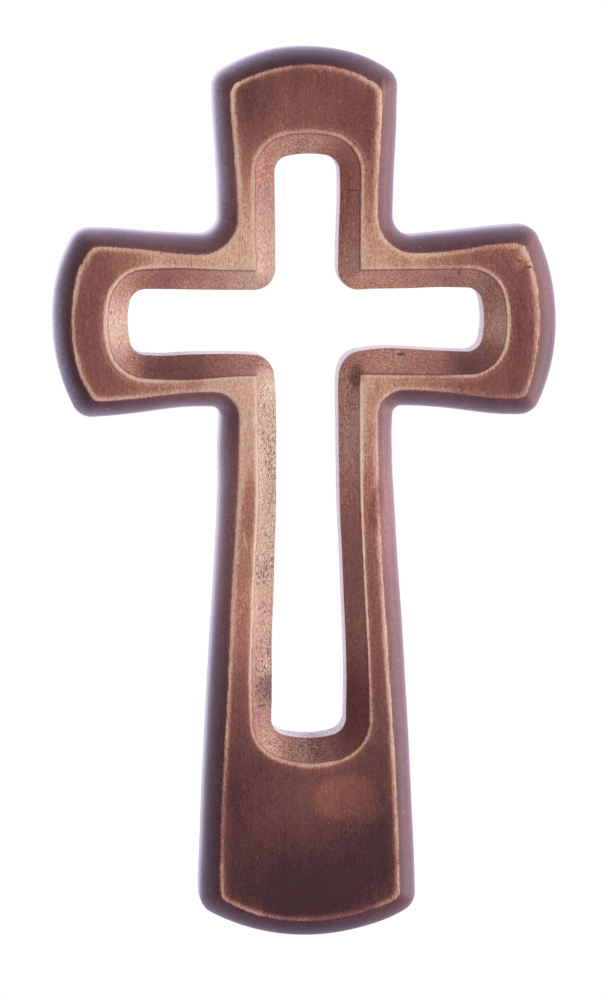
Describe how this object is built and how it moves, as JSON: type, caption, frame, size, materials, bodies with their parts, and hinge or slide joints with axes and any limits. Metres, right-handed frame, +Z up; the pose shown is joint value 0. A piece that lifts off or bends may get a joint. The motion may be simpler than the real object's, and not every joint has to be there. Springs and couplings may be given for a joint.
{
  "type": "cross",
  "caption": "Stained wooden wall cross with a cross-shaped opening, a carved cove round it, rounded outer edges and a widening foot.",
  "frame": {"origin": "middle of the mouth of the nail hole, in the back of the top arm", "axes": "+Z up along the shaft, +Y out of the flat back towards the wall, the carved front faces -Y, +X to the right for someone who looks at the front"},
  "size_m": [0.1262, 0.016, 0.2241],
  "materials": {
    "stained_wood": "satin reddish brown stain, lighter towards the crossing, worn pale along the edges"
  },
  "bodies": {
    "root": {"cross": "stained_wood"}
  },
  "joints": []
}
